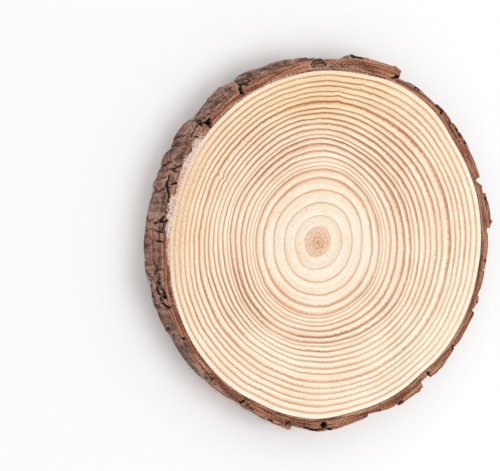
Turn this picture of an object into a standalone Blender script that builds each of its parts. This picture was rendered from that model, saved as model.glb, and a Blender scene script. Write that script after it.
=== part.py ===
"""A slice sawn straight across a pine log, lying on its lower face: the sanded wood and the ring of bark round it.

Metres, +Z up out of the upper face. The origin is in the plane of the lower face, under the middle of the
slice's own box. Angles go anticlockwise from +X, seen from above, about the middle of the wood.
"""

from collections import namedtuple

import bmesh
import bpy
import numpy as np

MM = 0.001

# Driving sizes
THICKNESS = 26 * MM
WOOD_RADIUS = 108 * MM
WOOD_COLUMNS = 120

# The log grew a little out of round: waves in a turn, their height in millimetres, degrees of a crest
WOOD_WAVES = ((1, 0.55, 80), (2, 1.95, 50), (3, 0.60, 0), (6, 0.30, 26))
# and one swelling: degrees of its top, its height in millimetres, and the degrees in which it fades before and after
SWELLING = (56, 3.6, 14.5, 18)

# The bark stands this far clear of the wood all round
BARK_GAP = 0.3 * MM

# One bark plate: where its first furrow meets the upper face (degrees), the bark's thickness beside that furrow
# and at the plate's far end (mm), how deep the furrow is cut below the thinner side (mm), how far it leans
# round the log on its way down (degrees), and the share of the height where a cross crack parts the plate,
# below which the bark stands further out by step (mm). Where the saw broke the plate's upper edge away, the
# sawn face ends flat millimetres from the wood, and the plate's edge lies fall millimetres lower.
Plate = namedtuple("Plate", "start first last furrow lean crack step flat fall", defaults=(20, 0))
PLATES = (
    Plate(5.3, 7.8, 7.4, 0.4, 2.0, 0.55, -0.9),
    Plate(17.1, 5.7, 3.7, 0.4, 1.5, 0.40, 0.6),
    Plate(22.2, 6.9, 7.4, 0.9, 3.5, 0.62, 0.8),
    Plate(38.6, 7.0, 6.1, 1.2, -1.0, 0.35, -0.7),
    Plate(43.2, 6.8, 5.7, 0.4, -3.5, 0.50, 0.9),
    Plate(50.4, 4.8, 4.5, 0.5, 1.0, 0.30, -1.2),
    Plate(65.8, 10.0, 10.7, 0.6, 2.5, 0.66, -1.4),
    Plate(84.3, 8.3, 7.3, 1.0, -2.0, 0.45, 1.0),
    Plate(92.5, 8.0, 10.0, 1.4, 2.0, 0.58, 0.7, 6.8, 1.6),
    Plate(104.0, 11.2, 12.8, 0.4, -3.0, 0.38, -0.9, 6.6, 4.4),
    Plate(118.4, 10.2, 9.4, 1.0, 0.2, 0.50, 0.8, 6.0, 4.0),
    Plate(122.3, 12.4, 8.8, 0.6, 0.6, 0.60, -0.8, 6.0, 5.0),
    Plate(139.0, 10.2, 9.2, 2.6, -1.8, 0.42, 0.3, 4.6, 5.4),
    Plate(147.0, 8.9, 9.7, 0.5, 1.5, 0.54, -0.4, 4.2, 5.0),
    Plate(155.0, 8.3, 9.2, 1.0, -0.2, 0.34, 0.5, 4.0, 4.6),
    Plate(162.0, 7.6, 8.4, 1.2, 0.4, 0.58, 0.4, 3.6, 4.4),
    Plate(176.0, 7.6, 7.2, 0.8, 0.4, 0.55, 1.5, 4.6, 3.4),
    Plate(187.6, 9.6, 9.0, 1.4, -3.0, 0.58, -3.4, 5.4, 4.2),
    Plate(199.4, 6.4, 5.4, 1.8, -8.0, 0.40, -0.6),
    Plate(209.6, 5.2, 5.4, 2.4, 1.0, 0.52, -1.8),
    Plate(226.0, 4.8, 5.2, 1.8, 2.6, 0.48, -1.4),
    Plate(241.4, 6.2, 8.6, 1.6, 1.0, 0.60, -0.9),
    Plate(256.4, 5.2, 8.6, 0.8, 2.0, 0.36, 0.9),
    Plate(268.4, 8.3, 7.0, 1.8, -1.5, 0.58, -0.8),
    Plate(281.0, 6.4, 6.1, 0.3, 0.5, 0.45, 0.5),
    Plate(283.4, 4.9, 6.6, 0.3, 2.0, 0.54, 0.8),
    Plate(294.2, 7.6, 8.6, 0.6, -2.0, 0.40, -0.8),
    Plate(305.7, 4.8, 4.7, 0.4, -1.5, 0.55, 0.9),
    Plate(309.3, 7.2, 5.6, 1.4, 1.5, 0.62, -0.7),
    Plate(322.8, 5.3, 6.2, 1.9, 3.0, 0.38, 0.8),
    Plate(337.0, 4.1, 5.4, 0.4, -1.5, 0.50, 0.9),
    Plate(342.6, 4.4, 5.1, 0.5, -2.5, 0.60, -0.7),
    Plate(351.4, 5.1, 5.1, 1.8, 1.5, 0.44, 0.8),
)

# A furrow wanders this many degrees to either side on its way down, and each has its own turn of the wave
WANDER = 0.7
WANDER_TURN = 2.4
# A cross crack arches up by this share of the height at mid plate, and slants by up to this share end to end
CRACK_ARCH = 0.10
CRACK_SLANT = 0.16
# A plate's face is crowned by this much, and is weathered by up to this much either way
CROWN = 0.4 * MM
ROUGHNESS = 0.28 * MM
ROUGHNESS_SEED = 11
# Half the width of a furrow or a cross crack, and the space between columns along a plate
HALF_FURROW = 0.45 * MM
COLUMN_SPACE = 3.6 * MM
# A furrow's floor has no crack: its levels close in on the middle of the height
FLOOR_CRACK = 0.5
# The flat sawn face ends at least this far within the plate's upper edge
LEAST_EDGE = 0.6 * MM

# sRGB colours of the two materials
SANDED_PINE = "F6DABC"
PINE_BARK = "8A6453"


def linear(colour):
    """An sRGB hex colour as linear red, green, blue and alpha."""
    channels = np.array([int(colour[i : i + 2], 16) for i in (0, 2, 4)]) / 255
    bright = ((channels + 0.055) / 1.055) ** 2.4
    return (*np.where(channels <= 0.04045, channels / 12.92, bright), 1.0)


def wood_radius(angle):
    """The wood's radius at each angle in radians: a circle with the waves and the swelling added.

    The swelling is its height times e to the minus cube of the way from its top, in the widths of its fading.
    """
    waves = sum(
        height * MM * np.cos(count * (angle - np.radians(crest)))
        for count, height, crest in WOOD_WAVES
    )
    top, height, before, after = SWELLING
    aside = (np.degrees(angle) - top + 180) % 360 - 180
    fading = np.abs(aside) / np.where(aside < 0, before, after)
    return WOOD_RADIUS + waves + height * MM * np.exp(-(fading**3))


def level_shares(crack, fall):
    """Shares of the height for the levels of one column, closing in on its cross crack from both sides.

    The last but one is the plate's upper edge, and the last is where the flat sawn face begins.
    """
    half = HALF_FURROW / THICKNESS
    edge = 1 - fall / THICKNESS
    below = (crack - half) * np.array([0, 1 / 2, 1])
    above = crack + half + (edge - crack - half) * np.array([0, 1 / 3, 2 / 3, 1])
    return np.concatenate([below, above, [1]])


def furrow_angle(index, down):
    """Degrees of a plate's first furrow, leaning and wandering with the way down from the upper face (0 to 1)."""
    plate = PLATES[index % len(PLATES)]
    turn = WANDER_TURN * (index % len(PLATES))
    wander = WANDER * (np.sin(2 * np.pi * down + turn) - np.sin(turn))
    return plate.start + 360 * (index // len(PLATES)) + plate.lean * down + wander


def plate_columns(index):
    """Columns across one plate: share of its width, thickness above the crack, height share of the crack, step."""
    plate = PLATES[index]
    width = np.radians(furrow_angle(index + 1, 0.0) - plate.start) * WOOD_RADIUS
    edge = HALF_FURROW / width
    across = np.linspace(edge, 1 - edge, max(3, round(width / COLUMN_SPACE)))
    thickness = (plate.first + (plate.last - plate.first) * across) * MM + CROWN * 4 * across * (1 - across)
    slant = CRACK_SLANT * np.cos(WANDER_TURN * index) * (across - 0.5)
    crack = plate.crack + slant + CRACK_ARCH * (np.sin(np.pi * across) - 0.5)
    return zip(across, thickness, crack, np.full(len(across), plate.step * MM))


def bark_levels():
    """The bark's outer skin: angle, radius and height of every column (second index) at every level (first).

    A column's angle runs between its plate's two furrows, which lean, so it leans with them. Its radius is the
    wood's there plus the bark's thickness. The floor of a furrow is a column of its own between two plates.
    The last level is the border of the flat sawn face, within the plate's upper edge.
    """
    rng = np.random.default_rng(ROUGHNESS_SEED)
    angles, radii, heights = [], [], []
    for index, plate in enumerate(PLATES):
        floor = (min(PLATES[index - 1].last, plate.first) - plate.furrow) * MM
        columns = [(0.0, floor, FLOOR_CRACK, 0.0), *plate_columns(index)]
        for place, thick, crack, step in columns:
            share = level_shares(crack, plate.fall * MM)
            first = furrow_angle(index, 1 - share)
            last = furrow_angle(index + 1, 1 - share)
            angle = np.radians(first + (last - first) * place)
            rough = rng.uniform(-ROUGHNESS, ROUGHNESS, len(share)) * (place > 0)
            skin = thick + step * (share < crack) + rough
            skin[-1] = min(plate.flat * MM, skin[-2] - LEAST_EDGE)
            angles.append(angle)
            radii.append(wood_radius(angle) + skin)
            heights.append(share * THICKNESS)
    return np.array(angles).T, np.array(radii).T, np.array(heights).T


def ring_points(angle, radius, height):
    """Points of one closed loop round the log."""
    height = np.broadcast_to(height, np.shape(angle))
    return np.stack([radius * np.cos(angle), radius * np.sin(angle), height], axis=-1)


def add_loop(bm, points):
    return [bm.verts.new(point) for point in points]


def join_loops(bm, first, second):
    """A band of four-sided faces between two closed loops of as many points."""
    for here in range(len(first)):
        after = (here + 1) % len(first)
        bm.faces.new((first[here], first[after], second[after], second[here]))


def material(name, colour, roughness):
    made = bpy.data.materials.new(name)
    made.use_nodes = True
    shader = made.node_tree.nodes["Principled BSDF"]
    shader.inputs["Base Color"].default_value = linear(colour)
    shader.inputs["Roughness"].default_value = roughness
    shader.inputs["Metallic"].default_value = 0.0
    return made


def finish_object(bm, name, finish, parent, middle):
    """Close the mesh with its faces outwards and place it as a named object, its middle off the slice's."""
    bmesh.ops.recalc_face_normals(bm, faces=bm.faces)
    mesh = bpy.data.meshes.new(name)
    bm.to_mesh(mesh)
    bm.free()
    mesh.materials.append(finish)
    mesh.shade_smooth()
    mesh.set_sharp_from_angle(angle=np.radians(30))
    made = bpy.data.objects.new(name, mesh)
    bpy.context.scene.collection.objects.link(made)
    made.parent = parent
    made.location = middle
    return made


def make_wood(parent, middle):
    """The disc of wood: its outline carried straight up, with both faces flat and fanned from the middle."""
    angle = np.linspace(0, 2 * np.pi, WOOD_COLUMNS, endpoint=False)
    radius = wood_radius(angle)
    bm = bmesh.new()
    lower = add_loop(bm, ring_points(angle, radius, 0.0))
    upper = add_loop(bm, ring_points(angle, radius, THICKNESS))
    join_loops(bm, lower, upper)
    faces = [bm.faces.new(lower), bm.faces.new(upper)]
    bmesh.ops.poke(bm, faces=faces)
    return finish_object(bm, "wood", material("sanded pine", SANDED_PINE, 0.6), parent, middle)


def make_bark(parent, middle, levels):
    """The ring of bark: its plated skin, the two sawn faces, and an inner wall that follows the wood."""
    angles, radii, heights = levels
    around = angles[-1]
    inner = wood_radius(around) + BARK_GAP
    bm = bmesh.new()
    loops = [add_loop(bm, ring_points(*level)) for level in zip(angles, radii, heights)]
    loops.append(add_loop(bm, ring_points(around, inner, THICKNESS)))
    loops.append(add_loop(bm, ring_points(around, inner, 0.0)))
    for first, second in zip(loops, loops[1:] + loops[:1]):
        join_loops(bm, first, second)
    return finish_object(bm, "bark", material("pine bark", PINE_BARK, 0.9), parent, middle)


def main():
    for old in list(bpy.data.objects):
        bpy.data.objects.remove(old)

    levels = bark_levels()
    skin = np.concatenate([ring_points(*level) for level in zip(*levels)])
    middle = -(skin.min(axis=0) + skin.max(axis=0)) / 2
    middle[2] = 0.0

    slice_empty = bpy.data.objects.new("wood_slice", None)
    bpy.context.scene.collection.objects.link(slice_empty)
    make_wood(slice_empty, middle)
    make_bark(slice_empty, middle, levels)


main()
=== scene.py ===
"""Looks of a slice sawn across a pine log.

Makes the sanded wood with its growth rings, the plated bark, the floor, the light and the camera. Lengths in
the constants below are millimetres, and angles are degrees anticlockwise from +X, seen from above. Bark is
described about the wood's middle, growth rings about the pith.
"""

from collections import namedtuple
from functools import partial
from itertools import product

import bpy
import numpy as np
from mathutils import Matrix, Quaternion, Vector


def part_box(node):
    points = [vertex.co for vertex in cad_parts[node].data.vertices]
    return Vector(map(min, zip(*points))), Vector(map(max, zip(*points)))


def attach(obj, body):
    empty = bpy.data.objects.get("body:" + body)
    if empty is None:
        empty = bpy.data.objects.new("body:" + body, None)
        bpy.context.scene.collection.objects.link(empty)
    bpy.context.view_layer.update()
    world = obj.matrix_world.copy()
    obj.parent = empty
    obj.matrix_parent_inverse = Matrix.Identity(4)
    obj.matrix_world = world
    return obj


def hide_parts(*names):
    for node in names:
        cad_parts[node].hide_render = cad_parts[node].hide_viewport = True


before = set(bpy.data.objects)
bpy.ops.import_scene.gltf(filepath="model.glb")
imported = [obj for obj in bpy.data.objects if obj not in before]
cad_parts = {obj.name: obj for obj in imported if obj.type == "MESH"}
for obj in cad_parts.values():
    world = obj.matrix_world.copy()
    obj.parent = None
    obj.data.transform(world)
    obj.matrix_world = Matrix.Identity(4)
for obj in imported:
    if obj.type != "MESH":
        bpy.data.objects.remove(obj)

bl_info = {
    "name": "Wood slice",
    "version": (1, 0, 0),
    "blender": (4, 5, 0),
    "location": "View3D > Sidebar > Wood slice",
    "description": "Makes the growth rings, bark, floor and light of a pine log slice",
    "category": "Add Mesh",
}

MM = 0.001
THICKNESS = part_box("wood")[1].z / MM

# The wood's outline, as in the CAD: a circle with waves (waves a turn, their height, degrees of a crest)
WOOD_RADIUS = 108
WOOD_WAVES = ((1, 0.55, 80), (2, 1.95, 50), (3, 0.60, 0), (6, 0.30, 26))
# and one swelling: degrees of its top, its height, and the degrees in which it fades before and after
SWELLING = (56, 3.6, 14.5, 18)
OUTLINE_COLUMNS = 120
# Small dents and swells of the grown outline that the CAD leaves out: degrees, half width in degrees, height
DENTS = (
    (18, 6, 0.2), (72, 5, 0.2), (106, 8, -0.2), (135, 7, -0.3), (156, 6, -0.2), (178, 6, 0.2),
    (193, 5, 0.25), (243, 5, -0.7), (265, 6, 0.6), (278, 8, -0.6), (295, 5, 0.2), (308, 5, -0.7),
    (323, 4, 0.2), (350, 5, -0.3),
)

# The pith, seen from the wood's middle
PITH = np.array([-10.3, 2.6])
# The darkest point of its core, seen from the pith, and fine rings round it: radius, half width, darkness
CORE_ASIDE = (1.1, -1.5)
CORE_RINGS = ((3.7, 0.7, 0.34), (6.2, 0.6, 0.16))
# Directions from the pith: of the faintest lines, of the wood stained beside the bark, and of its torn edge
FAINT, STAINED, TORN = 302, 168, 163
# How amber the wood has turned all over, and where more: direction, half width in degrees, radius where that
# begins, how far it takes to be in full, how much
AMBER = 0.12
MORE_AMBER = ((88, 42, 58, 30, 0.76), (172, 34, 62, 26, 0.58))

# One growth ring: the outer edge of its latewood in the direction of +X from the pith, the share of the
# ring's width that is latewood, and how dark that is
Ring = namedtuple("Ring", "radius late dark")
RINGS = [Ring(*row) for row in (
    (10.0, 0.10, 0.20), (17.8, 0.10, 0.32), (24.8, 0.13, 0.44), (31.8, 0.18, 0.50),
    (39.3, 0.34, 0.62), (44.5, 0.54, 0.65), (46.3, 0.68, 0.65), (48.9, 0.54, 0.54),
    (52.4, 0.63, 0.75), (57.0, 0.52, 0.86), (62.5, 0.58, 1.00), (67.0, 0.64, 1.00),
    (69.5, 0.60, 0.71), (73.4, 0.56, 0.94), (77.7, 0.52, 0.86), (81.3, 0.52, 0.86),
    (86.2, 0.52, 0.90), (90.0, 0.50, 0.87), (96.0, 0.54, 1.00), (99.8, 0.50, 0.85),
    (103.3, 0.52, 0.81), (107.3, 0.50, 0.83), (111.2, 0.52, 0.81), (115.5, 0.48, 0.79),
)]
# The last ring was still growing when the log was cut, so it has no edge, and there is only a share of it
UNFINISHED = Ring(0, 0.3, 0.3)
LAST_PHASE = len(RINGS) + 0.6

# Radii of some rings every 30 degrees from +X; those between take their shape from the two beside them
GUIDES = {
    2: (17.8, 18.0, 17.3, 15.5, 14.4, 14.1, 14.7, 15.9, 18.2, 18.5, 18.2, 18.0),
    4: (31.8, 33.4, 33.6, 31.6, 29.5, 29.1, 29.2, 31.2, 33.5, 34.6, 34.4, 33.2),
    8: (48.9, 48.9, 50.3, 49.4, 46.4, 45.0, 45.2, 47.5, 50.5, 51.2, 51.0, 50.3),
    12: (67.0, 65.3, 64.0, 64.0, 59.6, 58.2, 58.0, 59.8, 63.4, 64.2, 66.8, 68.8),
    16: (81.3, 80.2, 78.2, 76.4, 71.2, 68.2, 68.8, 70.4, 73.3, 76.2, 79.6, 81.6),
    19: (96.0, 95.4, 91.3, 86.7, 81.0, 77.8, 78.2, 81.6, 84.5, 88.6, 92.4, 95.0),
}

# A short kink that runs through some rings: its angle, its middle's radius, its half length out, its half
# width in degrees, and how far it shifts a ring
Kink = namedtuple("Kink", "angle radius reach half shift")
KINKS = [Kink(*row) for row in (
    (148.5, 74.5, 4, 1.1, -1.3), (80.5, 92, 5.5, 1.6, 0.9), (72, 103, 6, 0.8, 0.7),
)]

# A bark plate, as in the CAD: start of its first furrow, thickness there and at its far end, depth of the
# furrow, lean of the furrow, share of the height and step of its cross crack, and where its upper edge is
# broken away: how far from the wood the sawn face stays flat, and how far the edge has fallen
Plate = namedtuple("Plate", "start first last furrow lean crack step flat fall", defaults=(20, 0))
PLATES = [Plate(*row) for row in (
    (5.3, 7.8, 7.4, 0.4, 2, 0.55, -0.9),
    (17.1, 5.7, 3.7, 0.4, 1.5, 0.40, 0.6),
    (22.2, 6.9, 7.4, 0.9, 3.5, 0.62, 0.8),
    (38.6, 7, 6.1, 1.2, -1, 0.35, -0.7),
    (43.2, 6.8, 5.7, 0.4, -3.5, 0.50, 0.9),
    (50.4, 4.8, 4.5, 0.5, 1, 0.30, -1.2),
    (65.8, 10, 10.7, 0.6, 2.5, 0.66, -1.4),
    (84.3, 8.3, 7.3, 1, -2, 0.45, 1),
    (92.5, 8, 10, 1.4, 2, 0.58, 0.7, 6.8, 1.6),
    (104, 11.2, 12.8, 0.4, -3, 0.38, -0.9, 6.6, 4.4),
    (118.4, 10.2, 9.4, 1, 0.2, 0.50, 0.8, 6, 4),
    (122.3, 12.4, 8.8, 0.6, 0.6, 0.60, -0.8, 6, 5),
    (139, 10.2, 9.2, 2.6, -1.8, 0.42, 0.3, 4.6, 5.4),
    (147, 8.9, 9.7, 0.5, 1.5, 0.54, -0.4, 4.2, 5),
    (155, 8.3, 9.2, 1, -0.2, 0.34, 0.5, 4, 4.6),
    (162, 7.6, 8.4, 1.2, 0.4, 0.58, 0.4, 3.6, 4.4),
    (176, 7.6, 7.2, 0.8, 0.4, 0.55, 1.5, 4.6, 3.4),
    (187.6, 9.6, 9, 1.4, -3, 0.58, -3.4, 5.4, 4.2),
    (199.4, 6.4, 5.4, 1.8, -8, 0.40, -0.6),
    (209.6, 5.2, 5.4, 2.4, 1, 0.52, -1.8),
    (226, 4.8, 5.2, 1.8, 2.6, 0.48, -1.4),
    (241.4, 6.2, 8.6, 1.6, 1, 0.60, -0.9),
    (256.4, 5.2, 8.6, 0.8, 2, 0.36, 0.9),
    (268.4, 8.3, 7, 1.8, -1.5, 0.58, -0.8),
    (281, 6.4, 6.1, 0.3, 0.5, 0.45, 0.5),
    (283.4, 4.9, 6.6, 0.3, 2, 0.54, 0.8),
    (294.2, 7.6, 8.6, 0.6, -2, 0.40, -0.8),
    (305.7, 4.8, 4.7, 0.4, -1.5, 0.55, 0.9),
    (309.3, 7.2, 5.6, 1.4, 1.5, 0.62, -0.7),
    (322.8, 5.3, 6.2, 1.9, 3, 0.38, 0.8),
    (337, 4.1, 5.4, 0.4, -1.5, 0.50, 0.9),
    (342.6, 4.4, 5.1, 0.5, -2.5, 0.60, -0.7),
    (351.4, 5.1, 5.1, 1.8, 1.5, 0.44, 0.8),
)]
# How far a furrow wanders aside, in degrees, and how far the wander of each is turned from the last one's
WANDER = 0.7
WANDER_TURN = 2.4
# How far a cross crack arches and slants, in shares of the height
CRACK_ARCH = 0.10
CRACK_SLANT = 0.16
# How far a plate bulges, half the width of a furrow, and the width of a column of points
CROWN = 0.4
HALF_FURROW = 0.45
BARK_COLUMN = 0.64
# The bark is unrolled on a cylinder in the middle of it, of this radius
BARK_RADIUS = WOOD_RADIUS + 6
# How worn it is at a clean saw cut, as a share of its full wear, and how far down that one is reached
CLEAN_CUT = 0.25
CUT_DEPTH = 5
# How deep a hole or crack is at most in the bark's side, and how many tints the flakes of one plate have
SIDE_DEPTH = 3
FLAKE_TINTS = 24

# A hole in the sawn bark: its angle, its middle's distance from the wood, half its length along the rim,
# half its width across, and its depth
Hole = namedtuple("Hole", "angle out along across deep")
HOLES = [Hole(*row) for row in (
    (138, 3.6, 1.3, 1.7, 6), (122.8, 5.4, 1, 1.7, 5), (119.6, 8.4, 2.4, 0.9, 2),
    (81.4, 10.6, 5, 1.5, 0.9), (94.4, 5.8, 4.2, 1.9, 0.8), (96, 3.4, 2, 1.2, 0.7),
    (267.5, 4.3, 2.2, 2, 5), (296, 6.6, 2.2, 0.9, 0.8),
)]

# A crack in the bark: points along it (degrees, and millimetres out from the wood over the sawn face, then
# on down the side), half its width and its depth
Crack = namedtuple("Crack", "path half deep")
CRACKS = [Crack(*row) for row in (
    (((37, 6.6), (38.4, 6)), 0.4, 2.5), (((47.3, 2.8), (47.5, 4.9), (50.3, 4.5)), 0.6, 5),
    (((66, 5), (66.9, 4.6), (67.8, 2.4)), 0.6, 4.5), (((91, 6.6), (92.6, 7.6), (94.6, 7.4)), 0.4, 1.5),
    (((92, 4), (93.8, 5.6), (93.2, 6.8)), 0.35, 1.4), (((95.6, 6.8), (97, 4.6)), 0.4, 1.2),
    (((120.4, 13), (121.5, 9), (122.6, 6.4), (122.9, 3.2)), 0.7, 5),
    (((134.2, 6.4), (136, 8.8)), 0.5, 2), (((136.8, 4.6), (138.4, 4.6), (138.6, 1.4)), 0.6, 5),
    (((138.2, 4.4), (139.4, 7.6), (140, 10.2), (139, 18)), 0.6, 4.5),
    (((140, 10.4), (142.2, 9.8), (144.6, 8.4)), 0.5, 4), (((144.5, 5.6), (143.9, 3.6)), 0.4, 2),
    (((157, 20), (156.2, 11.4), (156, 8), (154.8, 4.6)), 0.5, 3),
    (((158.4, 10.8), (161.6, 9.8), (162.8, 7.8), (164, 5.8), (166.6, 4.7)), 0.75, 5),
    (((161.1, 5.8), (160.2, 2.6)), 0.45, 3), (((169.8, 5.6), (170.2, 4)), 0.35, 2),
    (((171.5, 6.2), (172.8, 9.2), (173.6, 13.5), (173.2, 20)), 0.6, 4),
    (((172.3, 3), (173.4, 4.8), (175.3, 5.4)), 0.6, 4),
    (((175.4, 18), (175.8, 12), (176.4, 9.4), (177.8, 8), (179.3, 9), (178.8, 13.5)), 0.4, 2.5),
    (((189.8, 14.6), (192.4, 11.8), (194.8, 10.4)), 0.7, 4.5),
    (((193.2, 11.2), (195, 8.4), (196.5, 5.8)), 0.5, 4), (((191, 9.6), (193.4, 7)), 0.5, 2.5),
    (((193.4, 5.6), (196.6, 5)), 0.5, 3), (((196, 10.4), (197.6, 7.8), (199.4, 5.2)), 0.45, 3),
    (((208.2, 9.4), (209, 7), (209.9, 3.4)), 0.6, 4.5),
    (((222, 8.6), (224.8, 6.6), (225.6, 3.4)), 0.5, 4), (((224.6, 4.6), (227, 6)), 0.45, 3),
    (((235.6, 5.6), (237.8, 4.8), (238.5, 3)), 0.5, 4), (((240.4, 5.4), (242.6, 6)), 0.45, 3),
    (((254.4, 6), (255.4, 3.8)), 0.5, 4), (((260.8, 5.8), (264, 6.9), (266.6, 6.8)), 0.4, 2.2),
    (((309.3, 6.2), (309.9, 2.6)), 0.5, 4), (((321.5, 5.4), (322.9, 2.8)), 0.45, 3.5),
)]

# Points and nicks in the bark's outline: degrees, how far they stand out, and half width in degrees
SPURS = (
    (7.5, 1.5, 0.7), (19.6, 1, 1.3), (21.6, -0.9, 0.6), (68.4, 0.9, 1.1), (83.2, 0.9, 1.1),
    (87, -0.7, 1.8), (255.6, 1.3, 1.1), (281.2, 1, 0.5), (340.2, 0.7, 0.9),
)

# Where the inner bark shows pale: start and end in degrees, how far it reaches from the wood, how pale it is
BAST = (
    (139, 182, 3.2, 1),
    (174, 192, 1.8, 0.8),
    (186, 206, 1, 0.6),
    (72, 104, 4.6, 0.48),
    (98, 142, 1.2, 0.62),
)


def linear(colour):
    """An sRGB hex colour as linear red, green, blue and alpha."""
    channels = np.array([int(colour[i : i + 2], 16) for i in (0, 2, 4)]) / 255
    bright = ((channels + 0.055) / 1.055) ** 2.4
    return (*(float(c) for c in np.where(channels <= 0.04045, channels / 12.92, bright)), 1.0)


def smooth(value):
    """A soft step: 0 below 0, 1 above 1, and three squares less two cubes between."""
    value = np.clip(value, 0, 1)
    return value * value * (3 - 2 * value)


def bump(way, half):
    """A soft bump: e to the minus square of the way from its top, in half widths."""
    return np.exp(-((way / half) ** 2))


def shorter(way, turn=360):
    """A way round, as the shorter way: between minus half a turn and half a turn."""
    return (way + turn / 2) % turn - turn / 2


def round_points(radius, turn, height):
    """Points from their radii, angles in radians and heights."""
    return np.stack(np.broadcast_arrays(radius * np.cos(turn), radius * np.sin(turn), height), axis=-1)


LATTICE_SIDE = 64
LATTICE = np.random.default_rng(5).uniform(-1, 1, (LATTICE_SIDE,) * 3)
LATTICE_SHIFT = np.array([17.3, 5.7, 11.9])


def noise(points, grain, seed):
    """Smooth noise from -1 to 1: random values at the corners of cubes of that grain, blended softly."""
    scaled = points / grain + seed * LATTICE_SHIFT
    cell = np.floor(scaled).astype(int)
    part = smooth(scaled - cell)
    total = 0
    for corner in product((0, 1), repeat=3):
        weight = np.where(corner, part, 1 - part).prod(axis=-1)
        total = total + weight * LATTICE[tuple(np.moveaxis((cell + corner) % LATTICE_SIDE, -1, 0))]
    return total


def wood_radius(angle):
    """The wood's radius at each angle in radians: a circle with the waves and the swelling added.

    The swelling is its height times e to the minus cube of the way from its top, in the widths of its fading.
    """
    waves = sum(
        height * np.cos(count * (angle - np.radians(crest))) for count, height, crest in WOOD_WAVES
    )
    top, height, before, after = SWELLING
    aside = shorter(np.degrees(angle) - top)
    fading = np.abs(aside) / np.where(aside < 0, before, after)
    return WOOD_RADIUS + waves + height * np.exp(-(fading**3))


def grown_radius(angle):
    """The wood's radius with its dents and swells: a bump of its height for each."""
    radius = wood_radius(angle)
    for place, half, height in DENTS:
        radius = radius + height * bump(shorter(np.degrees(angle) - place), half)
    return radius


def wood_middle():
    """The wood's middle in the frame: the middle of its node's box, less how far the box of its outline is
    off centre."""
    angle = np.linspace(0, 2 * np.pi, OUTLINE_COLUMNS, endpoint=False)
    outline = wood_radius(angle) * np.array([np.cos(angle), np.sin(angle)])
    low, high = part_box("wood")
    middle = np.array([low.x + high.x, low.y + high.y]) / 2 / MM
    return middle - (outline.min(axis=1) + outline.max(axis=1)) / 2


MIDDLE = wood_middle()


def ring_faces(rows, columns, closed=False):
    """Quads between neighbouring rows of a grid whose columns go all the way round; closed, its rows do
    too."""
    here = np.arange(rows * columns).reshape(rows, columns)
    if closed:
        here = np.vstack([here, here[:1]])
    after = np.roll(here, -1, axis=1)
    return np.stack([here[:-1], here[1:], after[1:], after[:-1]], axis=-1).reshape(-1, 4).tolist()


def new_object(name, data):
    """An object in the scene, at the origin."""
    made = bpy.data.objects.new(name, data)
    bpy.context.scene.collection.objects.link(made)
    return made


def add_piece(name, points, faces, finish, values, sharp):
    """A finished piece from points in millimetres about the wood's middle, riding on the body, with its
    values as attributes of the points."""
    placed = np.asarray(points, float).reshape(-1, 3) + (*MIDDLE, 0)
    mesh = bpy.data.meshes.new(name)
    mesh.from_pydata((placed * MM).tolist(), [], faces)
    for key, value in values.items():
        attribute = mesh.attributes.new(key, "FLOAT", "POINT")
        attribute.data.foreach_set("value", np.ravel(value).astype(np.float32))
    mesh.materials.append(finish)
    mesh.shade_smooth()
    mesh.set_sharp_from_angle(angle=np.radians(sharp))
    piece = new_object(name, mesh)
    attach(piece, "root")
    return piece


# Materials


def add_node(tree, kind, inputs=(), output=0, **settings):
    """Adds a node with its settings and returns one of its outputs, by name or number. inputs gives a number,
    a colour or another node's output to its inputs: a list in their order, or by name or number."""
    node = tree.nodes.new("ShaderNode" + kind)
    for name, value in settings.items():
        setattr(node, name, value)
    for socket, value in inputs.items() if isinstance(inputs, dict) else enumerate(inputs):
        if isinstance(value, bpy.types.NodeSocket):
            tree.links.new(value, node.inputs[socket])
        else:
            node.inputs[socket].default_value = value
    return node.outputs[output]


def new_material(name):
    """An empty material, a function that adds nodes to it, and its shader's inputs."""
    material = bpy.data.materials.new(name)
    material.use_nodes = True
    tree = material.node_tree
    return material, partial(add_node, tree), tree.nodes["Principled BSDF"].inputs


def link(value, socket):
    socket.id_data.links.new(value, socket)


def painted(add, colour, *layers):
    """Paints colours over a colour one after another. A layer is its pattern, the pattern's values at which
    it begins and is in full, the most that it covers, its colour, and MULTIPLY where it only darkens."""
    for pattern, begin, full, most, layer, *way in layers:
        share = add("MapRange", {"Value": pattern, "From Min": begin, "From Max": full, "To Max": most})
        blend = way[0] if way else "MIX"
        colour = add("Mix", {0: share, 6: colour, 7: layer}, 2, data_type="RGBA", blend_type=blend)
    return colour


def round_about(add, centre, turns, value, steps):
    """Places for a pattern that goes round a centre without a seam: the direction from it times turns, and
    the value times steps along the third axis."""
    point = add("TexCoord", output="Object")
    offset = add("VectorMath", [point, (*(centre * MM), 0)], operation="SUBTRACT")
    flat = add("VectorMath", [offset, (1, 1, 0)], operation="MULTIPLY")
    direction = add("VectorMath", [flat], operation="NORMALIZE")
    scaled = add("VectorMath", {0: direction, "Scale": turns}, operation="SCALE")
    out = add("Math", [value, steps], operation="MULTIPLY")
    return add("VectorMath", [scaled, add("CombineXYZ", {"Z": out})], operation="ADD")


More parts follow.
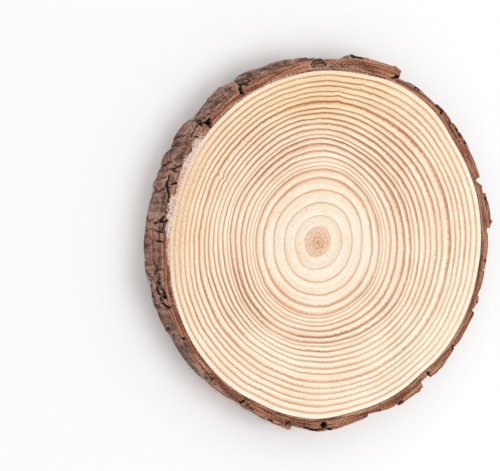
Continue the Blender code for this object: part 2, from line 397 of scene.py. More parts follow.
def sanded_pine(colours):
    """End grain of pine, sanded and left bare: matte and pale, with brown latewood lines that end sharply
    outwards, fine rays across them and a slight shine on the hard lines."""
    material, add, shader = new_material("sanded pine end grain")
    phase, late, dark, amber, heart, specks = (
        add("Attribute", output="Fac", attribute_name=name)
        for name in ("phase", "late", "dark", "amber", "heart", "specks")
    )
    point = add("TexCoord", output="Object")

    # Rays, a millimetre or two apart at the rim, shift the rings a little and break them into strokes
    place = round_about(add, MIDDLE + PITH, 78.0, phase, 0.55)
    rays = add("TexNoise", {"Vector": place, "Scale": 1.0, "Detail": 3.0, "Roughness": 0.65}, "Fac")
    shifted = add("Math", [rays, 0.34, phase], operation="MULTIPLY_ADD")
    share = add("Math", [add("Math", [shifted, -0.17], operation="ADD")], operation="FRACT")
    begin = add("Math", [1.0, late], operation="SUBTRACT")
    climb = {"Value": share, "From Min": begin, "From Max": 0.93}
    rise = add("MapRange", climb, interpolation_type="SMOOTHSTEP")
    width = add("Math", [late, 0.2], operation="MULTIPLY")
    fall = add("MapRange", {"Value": share, "From Max": width, "To Min": 1.0, "To Max": 0.0})
    line = add("Math", [rise, fall], operation="MAXIMUM")
    # Thin fainter lines follow a ring within it, and the first years darken slowly outwards
    place = round_about(add, MIDDLE + PITH, 1.6, shifted, 6.0)
    bands = add("TexNoise", {"Vector": place, "Scale": 1.0, "Detail": 3.0, "Roughness": 0.6}, "Fac")
    thin = add("MapRange", {"Value": bands, "From Min": 0.44, "From Max": 0.66, "To Max": 0.34})
    slow = add("MapRange", {"Value": phase, "From Min": 1.0, "From Max": 8.0, "To Min": 0.24, "To Max": 0.03})
    slow = add("Math", [slow, share], operation="MULTIPLY")
    inner = add("Math", [thin, dark, slow], operation="MULTIPLY_ADD")
    broken = {"Value": rays, "From Min": 0.32, "From Max": 0.68, "To Min": 0.76, "To Max": 1.12}
    stroke = add("Math", [add("MapRange", broken), dark], operation="MULTIPLY")
    brown = add("Math", [line, stroke, inner], operation="MULTIPLY_ADD", use_clamp=True)

    early, middle, darkest = (
        painted(add, getattr(colours, name), (amber, 0.0, 1.0, 1.0, getattr(colours, "amber_" + name)))
        for name in ("earlywood", "transition", "latewood")
    )
    cloud = add("TexNoise", {"Vector": point, "Scale": 45.0, "Detail": 2.0}, "Fac")
    # Cut fibres, drawn coarser than they are so that they show: dust of about a millimetre
    dust = add("TexNoise", {"Vector": point, "Scale": 1150.0, "Detail": 1.0, "Roughness": 0.7}, "Fac")
    flecks = add("MapRange", {"Value": dust, "From Min": 0.50, "From Max": 0.32})
    flecks = add("Math", [flecks, heart], operation="MULTIPLY")
    # Resin ducts and pores: dark dots half a millimetre wide, many of them in the first years' wood
    cell = {"Vector": point, "Scale": 420.0}
    seed = add("SeparateColor", {"Color": add("TexVoronoi", cell, "Color")}, "Red")
    seed = add("Math", [specks, 0.5, seed], operation="MULTIPLY_ADD")
    chosen = add("MapRange", {"Value": seed, "From Min": 0.994, "From Max": 0.998, "To Max": 0.75})
    near = add("MapRange", {"Value": add("TexVoronoi", cell, "Distance"), "From Min": 0.24, "From Max": 0.05})
    dots = add("Math", [near, chosen], operation="MULTIPLY")
    colour = painted(
        add, early,
        (brown, 0.0, 0.45, 1.0, middle),
        (brown, 0.40, 1.0, 1.0, darkest),
        (cloud, 0.35, 0.70, 0.16, colours.transition, "MULTIPLY"),
        (heart, 0.0, 1.0, 1.0, colours.pith),
        (flecks, 0.0, 0.6, 0.85, colours.latewood),
        (dust, 0.66, 0.34, 0.20, colours.latewood, "MULTIPLY"),
        (dots, 0.0, 1.0, 1.0, colours.resin),
    )
    link(colour, shader["Base Color"])
    link(add("MapRange", {"Value": brown, "To Min": 0.62, "To Max": 0.5}), shader["Roughness"])
    height = add("Math", [dust, 0.5, brown], operation="MULTIPLY_ADD")
    link(add("Bump", {"Height": height, "Strength": 0.3, "Distance": 0.0002}), shader["Normal"])
    return material


def pine_bark(colours):
    """Pine bark, dry and matte: grey-brown flakes outside, streaked upwards, and red-brown where it is sawn,
    with the thin dark layers in which cork has grown showing as lines along the rim."""
    material, add, shader = new_material("dry pine bark")
    sawn, layer, shade, tint, bast, edge = (
        add("Attribute", output="Fac", attribute_name=name)
        for name in ("sawn", "layer", "shade", "tint", "bast", "edge")
    )
    point = add("TexCoord", output="Object")

    # Noise round the bark for the sawn layers, and noise drawn out upwards for the outside
    wide_place = round_about(add, MIDDLE, 3.5, layer, 0.5)
    thin_place = round_about(add, MIDDLE, 5.5, layer, 1.25)
    high, tall = (
        add("VectorMath", [point, (1, 1, up)], operation="MULTIPLY") for up in (0.14, 0.5)
    )
    wide, thin, crumbs, streaks, mottle, fine, fibres = (
        add("TexNoise", {"Vector": place, "Scale": scale, "Detail": detail, "Roughness": rough}, "Fac")
        for place, scale, detail, rough in (
            (wide_place, 1.0, 2.0, 0.5), (thin_place, 1.0, 3.0, 0.6), (point, 850.0, 2.0, 0.7),
            (high, 300.0, 3.0, 0.6), (tall, 110.0, 4.0, 0.6), (tall, 800.0, 3.0, 0.65),
            (point, 1050.0, 2.0, 0.75),
        )
    )
    # Sawn: wide layers, thin dark and red lines between them a millimetre or two apart, and saw crumbs
    cut = painted(
        add, colours.sawn_bark,
        (wide, 0.48, 0.62, 1.0, colours.sawn_light),
        (wide, 0.46, 0.36, 1.0, colours.sawn_red),
        (thin, 0.49, 0.43, 1.0, colours.sawn_dark),
        (thin, 0.54, 0.60, 0.8, colours.sawn_light),
        (crumbs, 0.54, 0.68, 0.8, colours.sawn_light),
        (crumbs, 0.46, 0.32, 0.9, colours.sawn_dark),
    )
    # Outside: each flake has its own tint, streaked upwards and mottled over a few millimetres
    outside = painted(
        add, colours.grey_bark,
        (tint, 0.35, 0.75, 1.0, colours.red_bark),
        (tint, 0.80, 0.95, 0.7, colours.fresh_bark),
        (mottle, 0.49, 0.64, 0.9, colours.light_bark_and_ridge_highlight),
        (mottle, 0.44, 0.30, 0.8, colours.dark_bark),
        (streaks, 0.53, 0.68, 0.7, colours.light_bark_and_ridge_highlight),
        (streaks, 0.47, 0.34, 0.8, colours.dark_bark),
        # Painted highlight on the raised edges of flakes
        (edge, 0.1, 0.9, 0.6, colours.light_bark_and_ridge_highlight),
        (fine, 0.46, 0.30, 0.7, colours.dark_bark),
    )
    # Inner bark: pale torn fibres beside the wood
    pale = add("Math", [fibres, 2.6, bast], operation="MULTIPLY_ADD")
    colour = painted(
        add, outside,
        (sawn, 0.0, 1.0, 1.0, cut),
        (pale, 1.8, 2.5, 1.0, colours.bast),
        # Painted shade, near black, in hollows, furrows, holes and cracks
        (shade, 0.0, 1.0, 1.0, colours.painted_hollow_shade),
    )
    link(colour, shader["Base Color"])
    shader["Roughness"].default_value = 0.88
    relief = add("Mix", {0: sawn, 2: fine, 3: thin}, data_type="FLOAT")
    height = add("Math", [crumbs, 0.7, relief], operation="MULTIPLY_ADD")
    link(add("Bump", {"Height": height, "Strength": 0.8, "Distance": 0.0006}), shader["Normal"])
    return material


def plain_floor(colour):
    """Matte white card, as under a product in a photo studio."""
    material, _, shader = new_material("white card")
    shader["Base Color"].default_value = colour
    shader["Roughness"].default_value = 0.9
    shader["Specular IOR Level"].default_value = 0.2
    return material


# Wood


def outline_from_pith(angle):
    """Distance from the pith to the wood's outline along each angle: guessed, then corrected again and again
    by how far the point that it reaches lies within the outline."""
    direction = np.stack([np.cos(angle), np.sin(angle)], axis=-1)
    distance = np.full(angle.shape, float(WOOD_RADIUS))
    for _ in range(20):
        point = PITH + distance[:, None] * direction
        reached = np.hypot(point[:, 0], point[:, 1])
        distance += grown_radius(np.arctan2(point[:, 1], point[:, 0])) - reached
    return distance


def round_curve(radii, count):
    """A smooth closed curve through radii at even angles, at count angles: the sum of their waves."""
    return np.fft.irfft(np.fft.rfft(radii), count) * count / len(radii)


def ring_radii(phase, angle):
    """Radius from the pith for each phase (whole numbers are the rings' edges) and angle: between the guide
    rings beside it, in the share that its radius along +X has between theirs, plus kinks and small waves."""
    edge = outline_from_pith(angle)
    guides = [np.zeros(len(angle)), *(round_curve(radii, len(angle)) for radii in GUIDES.values()), edge]
    known = [guide[0] for guide in guides]
    radii_along_x = [0, *(ring.radius for ring in RINGS), edge[0]]
    along = np.interp(phase, [*range(len(RINGS) + 1), LAST_PHASE], radii_along_x)
    place = np.interp(along, known, np.arange(len(guides)))
    lower = np.minimum(place.astype(int), len(guides) - 2)
    share = (place - lower)[:, None]
    radius = np.array(guides)[lower] * (1 - share) + np.array(guides)[lower + 1] * share
    inside = smooth((edge - radius) / 6) * smooth(radius / 12)
    for kink in KINKS:
        aside = (np.degrees(angle) - kink.angle) / kink.half
        out = (radius - kink.radius) / kink.reach
        radius = radius + kink.shift * np.exp(-(aside**2) - out**2) * inside
    point = round_points(radius, angle, 0.0)
    waves = 0.30 * noise(point, 11, 1) + 0.14 * noise(point, 3.5, 2)
    return radius + waves * inside


def amber_share(radius, angle):
    """How amber the wood is: all over, plus a bump for each direction, in the outer rings."""
    share = AMBER
    for place, half, begin, over, most in MORE_AMBER:
        share = share + most * (bump(np.degrees(angle) - place, half) * smooth((radius - begin) / over))
    return np.clip(share, 0, 1)


def ring_rows():
    """The rows of points from the pith out: each one's phase, its ring's share of latewood, how dark that is,
    and the share of the relief up to which the row stands."""
    # In each ring, where the pale wood begins, where the latewood begins, half way up and at its outer edge
    rows = [
        (index + share, ring.late, ring.dark, height)
        for index, ring in enumerate([*RINGS, UNFINISHED])
        for share, height in ((0.09, 0), (1 - ring.late, 0.1), (1 - ring.late / 2, 0.6), (1, 1))
        if index + share < LAST_PHASE
    ]
    # The first year has more rows, for the fine rings in its core
    rows += [(share, RINGS[0].late, 0.2, 0) for share in np.linspace(0.14, 0.74, 11)]
    rows.append((LAST_PHASE, UNFINISHED.late, UNFINISHED.dark, 0))
    return np.array(sorted(rows)).T


def heart_share(phase, flat, stain):
    """How brown the wood is: in its first years, in its core, in fine rings round that, and where stained."""
    year = smooth((1.05 - phase) / 0.3) * 0.24 + smooth((2.3 - phase) / 1.5) * 0.07
    core = np.hypot(flat[..., 0] - CORE_ASIDE[0], flat[..., 1] - CORE_ASIDE[1])
    fine = sum(most * bump(core - ring, half) for ring, half, most in CORE_RINGS)
    heart = year[:, None] + fine + 0.20 * smooth((4.6 - core) / 1.2) + 0.42 * smooth((2.2 - core) / 1.6)
    return heart + 0.24 * stain


def make_wood(settings):
    """The wood: rows of points along every ring's lines on both faces, over a small rim and down the side.

    A point is the pith plus the ring radius along its angle, and stands up with the latewood by the relief.
    """
    angle = np.linspace(0, 2 * np.pi, settings.columns, endpoint=False)
    phase, late, dark, height = ring_rows()
    radius = ring_radii(phase, angle)
    flat = round_points(radius, angle, 0.0)
    uneven = 1 + 0.30 * noise(flat, 30, 3) + 0.16 * noise(flat, 9, 4)
    # Lines are fainter in the outer wood round one direction, and where it is stained beside the bark
    beside = smooth((np.cos(angle - np.radians(FAINT)) + 0.30) / 0.9)
    faint = 0.12 + 0.24 * smooth((radius - 45) / 45) * beside
    stain = np.exp(-(((np.degrees(angle) - STAINED) / 30) ** 4)) * smooth((radius - radius[-1] + 15) / 12)
    faint = faint + 0.40 * stain
    dark = np.clip(dark[:, None] * uneven * (1 - faint), 0, 1)
    late = np.clip(late[:, None] * (1 + 0.25 * noise(flat, 22, 5)), 0.1, 0.8)
    # Pores show in the first years' wood and where the saw tore its edge
    torn = smooth((np.cos(angle - np.radians(TORN)) - 0.78) / 0.15) * smooth((radius - radius[-1] + 2.6) / 2)
    specks = np.clip(0.6 * smooth((3.2 - phase) / 2.0)[:, None] + 0.8 * torn, 0, 1)

    # The upper face from the pith out, the rim, the side and the lower face back to the pith
    place = PITH + flat[..., :2]
    edge = place[-1:]
    rim = settings.rim
    inner_edge = edge * (1 - rim / np.hypot(place[-1, :, 0], place[-1, :, 1])[:, None])
    top = THICKNESS - settings.relief
    lift = settings.relief * (height[:, None] * dark)[:-1]
    border = [np.full((1, len(angle)), level) for level in (top, THICKNESS - rim, rim, settings.relief)]
    heights = np.concatenate([top + lift, *border, (settings.relief - lift)[::-1]])
    face = np.concatenate([place[:-1], inner_edge, edge, edge, inner_edge, place[:-1][::-1]])
    points = np.concatenate([face, heights[..., None]], axis=-1).reshape(-1, 3)
    poles = [(*PITH, top), (*PITH, settings.relief)]

    rows, columns = heights.shape
    here = np.arange(columns)
    after = np.roll(here, -1)
    last = (rows - 1) * columns
    faces = ring_faces(rows, columns)
    for pole, one, other in ((0, here, after), (1, last + after, last + here)):
        faces += np.stack([np.full(columns, rows * columns + pole), one, other], axis=-1).tolist()

    # Values for every point: the upper face's, the last row's over the rim and the side, the lower face's
    values = {
        name: np.append(np.concatenate([value[:-1], *[value[-1:]] * 4, value[:-1][::-1]]), [at_pith] * 2)
        for name, value, at_pith in (
            ("late", late, 0.2),
            ("dark", dark, 0.2),
            ("phase", np.repeat(phase[:, None], columns, axis=1), 0),
            ("amber", amber_share(radius, angle), AMBER),
            ("heart", heart_share(phase, flat, stain), 0.7),
            ("specks", specks, 0.6),
        )
    }
    wood = add_piece("wood_slice_wood", [*points, *poles], faces, sanded_pine(settings), values, 40)
    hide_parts("wood")


# Bark


# The columns of points round the bark: the number of each one's plate, its share of the way across (0 is the
# floor of the plate's first furrow), and the values of that plate and of the two beside it
Columns = namedtuple("Columns", "plate across here before after")

# The bark's side: angles in degrees, distances from the wood, heights, depths in holes and cracks, how far
# each point is in a furrow that gapes, which flake it is on, and each column's flat and fall as in Plate
Side = namedtuple("Side", "angle reach height deep gaping flake flat fall")


def plate_values(index):
    """Each value of the plates of those numbers, which go on round the bark, as one array."""
    return Plate(*np.array(PLATES)[index % len(PLATES)].T)


def furrow_angle(index, down):
    """Degrees of each plate's first furrow, which leans and wanders, that share of the way down."""
    plates = plate_values(index)
    turn = WANDER_TURN * (index % len(PLATES))
    wander = WANDER * (np.sin(2 * np.pi * down + turn) - np.sin(turn))
    small = 0.16 * np.sin(9 * np.pi * down + 3 * turn) + 0.12 * np.sin(17 * np.pi * down + 5 * turn)
    start = plates.start + 360 * (index // len(PLATES))
    return start + plates.lean * down + wander + small * smooth(down * 8)


def column_angle(columns, down):
    """Degrees of each column, that share of the way down: its share of the way between two furrows."""
    begin, end = furrow_angle(columns.plate, down), furrow_angle(columns.plate + 1, down)
    return begin + (end - begin) * columns.across


def bark_columns():
    """The columns round the bark: even ones across each plate, after one in the furrow before it."""
    plates, shares = [], []
    for index, plate in enumerate(PLATES):
        width = np.radians(PLATES[(index + 1) % len(PLATES)].start - plate.start) % (2 * np.pi) * WOOD_RADIUS
        edge = HALF_FURROW / width
        across = np.concatenate([[0], np.linspace(edge, 1 - edge, max(4, round(width / BARK_COLUMN)))])
        plates.append(np.full(len(across), index))
        shares.append(across)
    plate = np.concatenate(plates)
    return Columns(plate, np.concatenate(shares), *(plate_values(plate + way) for way in (0, -1, 1)))


def terraces(value, step):
    """The value in flat steps with steep rises between, like the edges of thin flakes lying on each other."""
    level = np.floor(value / step)
    rise = smooth((value / step - level - 0.78) / 0.22)
    return (level + rise) * step, level


def around(angle, height):
    """Points on the cylinder in the middle of the bark, for noise that goes round without a seam."""
    return round_points(BARK_RADIUS, np.radians(angle), height)


def unrolled(angle):
    """Length along the unrolled bark for an angle in degrees."""
    return np.radians(angle) * BARK_RADIUS


def path_distance(along, out, path):
    """Distance of each point of the unrolled bark from a path: the least over its straight stretches."""
    nearest = np.full(np.broadcast(along, out).shape, np.inf)
    for (angle_a, out_a), (angle_b, out_b) in zip(path, path[1:]):
        start, end = unrolled(angle_a), unrolled(angle_b)
        offset = shorter(along - start, unrolled(360))
        run = np.array([end - start, out_b - out_a])
        share = np.clip((offset * run[0] + (out - out_a) * run[1]) / (run @ run), 0, 1)
        nearest = np.minimum(nearest, np.hypot(offset - share * run[0], out - out_a - share * run[1]))
    return nearest


def opened(along, out, jitter):
    """How deep the holes and cracks are at each point of the unrolled bark: full depth within their ragged
    edges, rising steeply to nothing just outside."""
    deep = np.zeros(np.broadcast(along, out).shape)
    for hole in HOLES:
        offset = shorter(along - unrolled(hole.angle), unrolled(360))
        apart = np.hypot(offset / hole.along, (out - hole.out) / hole.across) + 0.30 * jitter
        deep = np.maximum(deep, hole.deep * smooth((1.2 - apart) / 0.5))
    for crack in CRACKS:
        apart = path_distance(along + 0.5 * jitter, out + 0.5 * jitter, crack.path) / crack.half
        deep = np.maximum(deep, crack.deep * smooth((1.6 - apart) / 1.1))
    return deep


def bark_side(columns, settings):
    """The side of the bark, from its upper edge down.

    The thickness is the plate's, which bulges in the middle and steps at the cross crack, plus low hills and
    the wear of the plate's edges in terraces, like flakes. Furrows, slits, holes and cracks are cut into it,
    and spurs stand out.
    """
    plate, across, here, before, after = columns
    width = np.radians(furrow_angle(plate + 1, 0.0) - furrow_angle(plate, 0.0)) * WOOD_RADIUS
    share = np.minimum(across, 1 - across)
    near = share * width

    # Beside a furrow, a plate's broken upper edge runs into its neighbour's
    beside = 0.5 * np.clip(1 - share / 0.25, 0, 1)
    flat, fall = (
        value + (np.where(across < 0.5, left, right) - value) * beside
        for value, left, right in ((here.flat, before.flat, after.flat), (here.fall, before.fall, after.fall))
    )
    broken = fall > 0
    rim = around(column_angle(columns, 0.0), 0.0)
    flat = flat + 0.7 * noise(rim, 5, 21) + 0.4 * noise(rim, 1.8, 22)
    ragged = fall * (1 + 0.25 * noise(rim, 6, 23)) + 0.5 * noise(rim, 2, 24)
    fall = np.where(broken, np.maximum(ragged, 0.3), 0.1)

    down = np.linspace(0, 1, settings.side_rows)[:, None]
    depth = fall / THICKNESS + (1 - fall / THICKNESS) * down
    angle = column_angle(columns, depth)
    height = THICKNESS * (1 - depth)
    place = around(angle, height)
    # Near the upper sawn face the bark is cut cleanly where it isn't broken, so it is less worn there
    worn = np.where(broken, 1, CLEAN_CUT + (1 - CLEAN_CUT) * smooth((THICKNESS - height) / CUT_DEPTH))
    wear = worn - CLEAN_CUT

    slant = CRACK_SLANT * np.cos(WANDER_TURN * plate) * (across - 0.5)
    arch = CRACK_ARCH * (np.sin(np.pi * across) - 0.5)
    crack = here.crack + slant + arch + 0.05 * noise(place, (7, 7, 4), 5)
    below = (crack - (1 - depth)) * THICKNESS
    body = here.first + (here.last - here.first) * across + CROWN * 4 * across * (1 - across)
    hills = noise(place, (11, 11, 28), 6) + 0.5 * noise(place, (4.5, 4.5, 20), 7) + 0.15 * noise(place, 2, 8)
    edges = -(0.7 + 0.7 * noise(place, 6, 9)) * np.exp(-near / 1.5) - 0.2 * np.exp(-np.abs(below) / 1.6)
    steps, level = terraces((hills - 0.4 + edges) * worn, settings.flake)
    slit = 1.2 * smooth((noise(place, (10, 10, 12), 10) - 0.36) / 0.2) * bump(below, 0.45)
    weather = 0.08 * noise(place, (1.3, 1.3, 2.2), 11) + 0.06 * noise(place, 0.7, 12)
    step = 0.6 * here.step * smooth(below / 1.2 + 0.5 + noise(place, 3, 18))
    skin = body + step + steps - slit + weather

    # Between two plates is a furrow, which gapes in places
    start_floor = np.minimum(before.last, here.first) - here.furrow
    end_floor = np.minimum(here.last, after.first) - after.furrow
    floor = np.where(across < 0.5, start_floor, end_floor)
    floor = floor - (1.3 + 1.4 * noise(place, (5, 5, 9), 13)) * wear + 0.2 * noise(place, 1.2, 16)
    gape = np.clip(0.5 + 2.2 * noise(place, (9, 9, 13), 17), 0, 2.2) * wear
    gaping = np.where(across == 0, 1, smooth((gape - near) / 0.7))
    skin = np.maximum(skin + np.minimum(floor - skin, 0) * gaping, 1.2)
    for tip, tall, half in SPURS:
        skin = skin + tall * np.clip(1 - np.abs(shorter(angle - tip)) / half, 0, 1)

    jitter = noise(place, 1.7, 14) + 0.5 * noise(place, 0.8, 15)
    deep = np.minimum(opened(unrolled(angle), skin + (THICKNESS - height), jitter), SIDE_DEPTH)
    deep = deep * smooth((THICKNESS - height) / 2)
    return Side(angle, np.maximum(skin - deep, 1.0), height, deep, gaping * wear, level, flat, fall)


def sawn_face(edge, angle, flat, fall, holes, seed, settings):
    """A sawn face of the bark at even shares of the way from the inner wall out to the bark's edge: distances
    from the wood, how far sunk, and depths in holes and cracks.

    It stays flat up to a distance from the wood and falls from there in ragged terraces. It is chipped at its
    edge and torn along its softer layers.
    """
    reach = settings.gap + (edge - settings.gap) * np.linspace(0, 1, settings.face_rows)[:-1, None]
    spot = around(angle, reach * 3)
    ledge = np.clip((reach - flat) / np.maximum(edge - flat, 0.5), 0, 1)
    sunk = fall * ledge**0.8 * (fall > 0.2)
    ragged, _ = terraces(sunk + 0.6 * noise(spot, (4, 4, 6), seed) * (sunk > 0.05), 0.8)
    sunk = np.where(sunk > 0.05, 0.35 * sunk + 0.65 * np.maximum(ragged, 0), 0)
    chipped = smooth((noise(spot, (4, 4, 6), seed + 1) - 0.5) / 0.12)
    chipped = chipped * smooth((reach - edge + 1.8) / 0.6)
    torn = smooth((noise(spot, (9, 9, 2.6), seed + 3) - 0.25) / 0.3) * 0.35
    rough = 0.09 * noise(spot, (1.1, 1.1, 2.5), seed + 2) + 0.06 * noise(spot, 0.7, seed + 5)
    grit = noise(spot, (1.7, 1.7, 5), seed + 4) + 0.5 * noise(spot, (0.8, 0.8, 2.4), seed + 6)
    deep = opened(unrolled(angle), reach + sunk, grit) if holes else 0 * reach
    sunk = np.maximum(sunk, chipped * settings.chips) + deep + torn + 0.1 + rough
    return reach, np.maximum(sunk, 0), deep


def low_and_high(points):
    """How dark each point of a closed grid is painted for lying low, as painted shade, and how light for
    standing
    high, as painted highlight: its depth along the normal below the mean of its near and further
    surroundings."""
    one, other = (np.roll(points, -1, axis=axis) - np.roll(points, 1, axis=axis) for axis in (0, 1))
    normal = np.cross(one, other)
    normal /= np.maximum(np.linalg.norm(normal, axis=-1, keepdims=True), 1e-9)
    low = np.zeros(points.shape[:2])
    mean = points
    # Rounds of smoothing, and the depth in millimetres below their mean that is full shade
    for rounds, full in ((2, 0.16), (4, 0.42)):
        for _ in range(rounds):
            ring = sum(np.roll(mean, way, axis=axis) for way in (1, -1) for axis in (0, 1))
            mean = (mean + ring) / 5
        sunk = ((mean - points) * normal).sum(axis=-1) / full
        low += np.clip(sunk, 0, 1) * 0.6
    return low, np.clip(-sunk, 0, 1)


def bast_share(points, degrees, reaches):
    """How pale each point beside the wood is, by the stretches of inner bark and their ragged reach."""
    share = np.zeros(reaches.shape)
    for begin, end, reach, pale in BAST:
        along = smooth((degrees - begin) / 6) * smooth((end - degrees) / 6)
        ragged = reach * (1 + 0.5 * noise(points, 5, 51) + 0.2 * noise(points, 2, 52))
        share = np.maximum(share, pale * along * smooth((ragged - reaches) / (0.5 + 0.8 * reach) + 0.5))
    return share


def make_bark(settings):
    """The ring of bark as one closed grid: out over the upper sawn face, down the plated side, in under the
    lower face and up the inner wall. A point's radius is the wood's plus its distance from the wood."""
    columns = bark_columns()
    side = bark_side(columns, settings)
    upper, lower = column_angle(columns, 0.0), column_angle(columns, 1.0)
    edge, low_edge = side.reach[0], side.reach[-1]
    reach, sunk, deep = sawn_face(edge, upper, side.flat, side.fall, True, 30, settings)
    low_reach, low_sunk, no_depth = sawn_face(low_edge, lower, low_edge, 0 * low_edge, False, 40, settings)
    low_sunk = np.minimum(low_sunk, THICKNESS / 4)
    strips = (
        (upper + 0 * reach, reach, THICKNESS - sunk, deep),
        side[:4],
        [rows[::-1] for rows in (lower + 0 * low_reach, low_reach, low_sunk, no_depth)],
    )
    degrees, reaches, heights, depths = (np.concatenate(rows) for rows in zip(*strips))
    turns = np.radians(degrees)
    points = round_points(grown_radius(turns) + reaches, turns, heights)

    # The rows of the upper face, of the side and of the lower face
    above, beside = slice(len(reach)), slice(len(reach), len(reach) + len(side.reach))
    below = slice(beside.stop, None)
    # Painted shade where the surface lies low and painted highlight where it stands high, from the grid's
    # shape
    shade, painted_ridge_highlight = low_and_high(points)
    shade[above] *= np.where(sunk > 0.9, 1, 0.75)
    shade[below] *= 0.75
    # The sawn face darkens at its border, in places, and painted shade darkens a gaping furrow all over
    border = smooth((reach - edge + 0.9) / 0.6)
    patchy = np.clip(0.55 + 0.9 * noise(points[above], 4, 53), 0, 1)
    unbroken = side.flat > 15
    shade[above] += 0.45 * border * patchy * unbroken
    shade[beside] += 0.5 * side.gaping
    sawn = np.zeros(heights.shape)
    sawn[above] = smooth((0.95 - sunk) / 0.4) * (1 - 0.7 * border)
    sawn[below] = smooth((0.9 - heights[below]) / 0.5)
    # A tint for every plate, mixed with one for every flake on it
    pick = np.random.default_rng(17).uniform(0, 1, (len(PLATES), FLAKE_TINTS))
    flake = np.clip(side.flake + FLAKE_TINTS // 2, 0, FLAKE_TINTS - 1).astype(int)
    tint = 0.55 * pick[columns.plate, 0] + 0.45 * pick[columns.plate, flake]
    bast = bast_share(points, degrees, reaches)
    bast[beside.start :] = 0
    values = {
        "sawn": sawn,
        "layer": reaches + 0.5 * noise(around(degrees, heights), (16, 16, 10), 50),
        # Painted shade, darker the deeper a point lies in a hole or crack
        "shade": np.clip(shade + smooth(depths / 1.6), 0, 1),
        "tint": np.concatenate([0 * reach + tint[0], tint, 0 * low_reach + tint[-1]]),
        "bast": bast,
        # Painted highlight on raised flake edges
        "edge": painted_ridge_highlight,
    }
    faces = ring_faces(*heights.shape, closed=True)
    bark = add_piece("wood_slice_bark", points, faces, pine_bark(settings), values, 55)
    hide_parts("bark")


# Stage


def make_stage(settings):
    """The floor and the studio's light."""
    side = settings.floor_size / 2
    mesh = bpy.data.meshes.new("floor")
    corners = [(-side, -side, 0), (side, -side, 0), (side, side, 0), (-side, side, 0)]
    mesh.from_pydata(corners, [], [(0, 1, 2, 3)])
    mesh.materials.append(plain_floor(settings.floor_colour))
    floor = new_object("floor", mesh)

    world = bpy.data.worlds.new("studio")
    world.use_nodes = True
    back = world.node_tree.nodes["Background"]
    back.inputs["Color"].default_value = settings.sky_colour
    back.inputs["Strength"].default_value = settings.sky_strength
    bpy.context.scene.world = world
    for name, place, size, power in (
        ("key light", (0.55, -0.25, 1.30), 0.9, settings.key_power),
        ("fill light", (-0.60, 0.90, 1.10), 1.2, settings.fill_power),
    ):
        lamp = bpy.data.lights.new(name, "AREA")
        lamp.size = size
        lamp.energy = power
        light = new_object(name, lamp)
        light.location = place
        light.rotation_euler = (-Vector(place)).to_track_quat("-Z", "Y").to_euler()
    bpy.context.scene.view_settings.view_transform = "Standard"


# The photograph's camera: its picture and lens, how far it is from the point of the upper face that it aims
# by, that point from the wood's middle, how far it tilts, and where that point falls on the picture
PICTURE = (500, 471)
SENSOR = 36.0
FOCAL_PIXELS = 1400
DISTANCE = 877
AIM_POINT = np.array([-4.5, 1.0])
TILT = np.radians(25)
AIM_PIXEL = (325, 243)


def make_camera():
    """A camera tilted towards -X off the square view, turned so that the aimed point falls on its pixel."""
    aim = Vector((*(MIDDLE + AIM_POINT), THICKNESS)) * MM
    look = Vector((np.sin(TILT), 0, -np.cos(TILT)))
    straight = Quaternion((0, 1, 0), -TILT)
    right = (AIM_PIXEL[0] - PICTURE[0] / 2) / FOCAL_PIXELS
    low = (AIM_PIXEL[1] - PICTURE[1] / 2) / FOCAL_PIXELS
    turn = Vector((0, 0, -1)).rotation_difference(Vector((right, -low, -1)))
    data = bpy.data.cameras.new("camera")
    data.sensor_width = SENSOR
    data.lens = SENSOR * FOCAL_PIXELS / PICTURE[0]
    data.clip_start = 0.05
    data.clip_end = 20
    camera = new_object("camera", data)
    camera.rotation_mode = "QUATERNION"
    camera.rotation_quaternion = straight @ turn.inverted()
    camera.location = aim - look * DISTANCE * MM
    bpy.context.scene.camera = camera


# Settings, operators and panel


def colour_property(name, colour, description):
    """A setting that is a colour, from an sRGB hex colour."""
    return bpy.props.FloatVectorProperty(
        name=name, description=description, subtype="COLOR", size=4, min=0, max=1, default=linear(colour)
    )


def number_property(name, default, description, least=0, **options):
    """A setting that is a number, and a whole one if its default is."""
    kind = bpy.props.IntProperty if isinstance(default, int) else bpy.props.FloatProperty
    return kind(name=name, default=default, description=description, min=least, **options)


class WoodSettings(bpy.types.PropertyGroup):
    columns: number_property("Columns", 360, "Points round each growth ring", 36, max=720)
    relief: number_property("Relief", 0.06, "How far latewood stands up after sanding, in millimetres")
    rim: number_property("Rim", 0.15, "Rounding of the wood's edge, in millimetres", 0.05)
    earlywood: colour_property("Earlywood", "FFFDEE", "Pale wood grown in spring")
    transition: colour_property("Transition", "F1C8A2", "Wood between the two")
    latewood: colour_property("Latewood", "B97850", "Brown wood grown in summer")
    amber_earlywood: colour_property("Amber earlywood", "FFEDC8", "Pale wood where it has yellowed")
    amber_transition: colour_property("Amber transition", "E9BA80", "Wood between them where it has yellowed")
    amber_latewood: colour_property("Amber latewood", "AC6E38", "Brown wood where it has yellowed")
    pith: colour_property("Pith", "DC9660", "The first year's core")
    resin: colour_property("Resin", "8A4C2C", "Resin ducts")


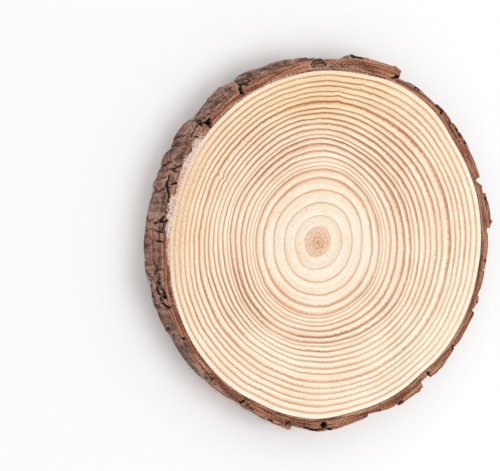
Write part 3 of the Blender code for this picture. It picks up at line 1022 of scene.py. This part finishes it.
class BarkSettings(bpy.types.PropertyGroup):
    side_rows: number_property("Side rows", 46, "Points down the side", 8)
    face_rows: number_property("Face rows", 21, "Points across a sawn face", 4)
    gap: number_property("Gap", 0.06, "Between the wood and the bark, in millimetres", 0.05, max=0.3)
    flake: number_property("Flakes", 0.7, "Thickness of the outer bark's flakes, in millimetres", 0.1)
    chips: number_property("Chips", 1.0, "Depth of the chips at the sawn edge, in millimetres")
    sawn_bark: colour_property("Sawn bark", "9A6247", "Sawn bark")
    sawn_light: colour_property("Light layers", "C68D70", "Light layers of the sawn bark")
    sawn_red: colour_property("Red layers", "955136", "Red layers of the sawn bark")
    sawn_dark: colour_property("Dark layers", "5E321F", "Dark layers of the sawn bark")
    grey_bark: colour_property("Grey bark", "7B5849", "Weathered flakes")
    red_bark: colour_property("Red bark", "98685A", "Fresher flakes")
    fresh_bark: colour_property("Fresh bark", "BC7B62", "Flakes from which others have just fallen")
    # Light mottling, and also the colour of the painted highlight on raised flake edges
    light_bark_and_ridge_highlight: colour_property("Light bark", "C49A85", "Light mottling")
    dark_bark: colour_property("Dark bark", "412318", "Dark mottling")
    bast: colour_property("Inner bark", "F4E0D5", "Pale fibres beside the wood")
    # Colour of the painted shade in furrows, cracks and holes
    painted_hollow_shade: colour_property("Hollows", "1A0E09", "Furrows, cracks and holes")


class StageSettings(bpy.types.PropertyGroup):
    floor_size: number_property("Floor", 8.0, "Side of the floor", 1, unit="LENGTH")
    floor_colour: colour_property("Floor colour", "FAFAFA", "White card")
    sky_colour: colour_property("Sky colour", "FFFFFF", "Light from all round")
    sky_strength: number_property("Sky", 0.73, "Strength of the light all round")
    key_power: number_property("Key", 7.3, "Power of the key light in watts")
    fill_power: number_property("Fill", 1.6, "Power of the fill light in watts")


class WOODSLICE_OT_stage(bpy.types.Operator):
    """Make the floor, the lights and the camera"""

    bl_idname = "woodslice.stage"
    bl_label = "Stage"

    def execute(self, context):
        make_stage(context.scene.slice_stage)
        make_camera()
        return {"FINISHED"}


class WOODSLICE_OT_wood(bpy.types.Operator):
    """Make the wood with its growth rings"""

    bl_idname = "woodslice.wood"
    bl_label = "Wood"

    def execute(self, context):
        make_wood(context.scene.slice_wood)
        return {"FINISHED"}


class WOODSLICE_OT_bark(bpy.types.Operator):
    """Make the ring of bark"""

    bl_idname = "woodslice.bark"
    bl_label = "Bark"

    def execute(self, context):
        make_bark(context.scene.slice_bark)
        return {"FINISHED"}


class WOODSLICE_PT_panel(bpy.types.Panel):
    """The slice's pieces and their settings"""

    bl_label = "Wood slice"
    bl_space_type = "VIEW_3D"
    bl_region_type = "UI"
    bl_category = "Wood slice"

    def draw(self, context):
        for name in ("stage", "wood", "bark"):
            box = self.layout.box()
            box.operator("woodslice." + name)
            group = getattr(context.scene, "slice_" + name)
            for key in group.bl_rna.properties.keys():
                if key not in ("rna_type", "name"):
                    box.prop(group, key)


CLASSES = (
    WoodSettings, BarkSettings, StageSettings,
    WOODSLICE_OT_stage, WOODSLICE_OT_wood, WOODSLICE_OT_bark, WOODSLICE_PT_panel,
)


SETTINGS = {"slice_stage": StageSettings, "slice_wood": WoodSettings, "slice_bark": BarkSettings}


def register():
    for made in CLASSES:
        bpy.utils.register_class(made)
    for name, kind in SETTINGS.items():
        setattr(bpy.types.Scene, name, bpy.props.PointerProperty(type=kind))


def unregister():
    for name in SETTINGS:
        delattr(bpy.types.Scene, name)
    for made in reversed(CLASSES):
        bpy.utils.unregister_class(made)


def main():
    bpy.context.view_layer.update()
    register()
    bpy.ops.woodslice.stage()
    bpy.ops.woodslice.wood()
    bpy.ops.woodslice.bark()


if __name__ == "__main__":
    main()
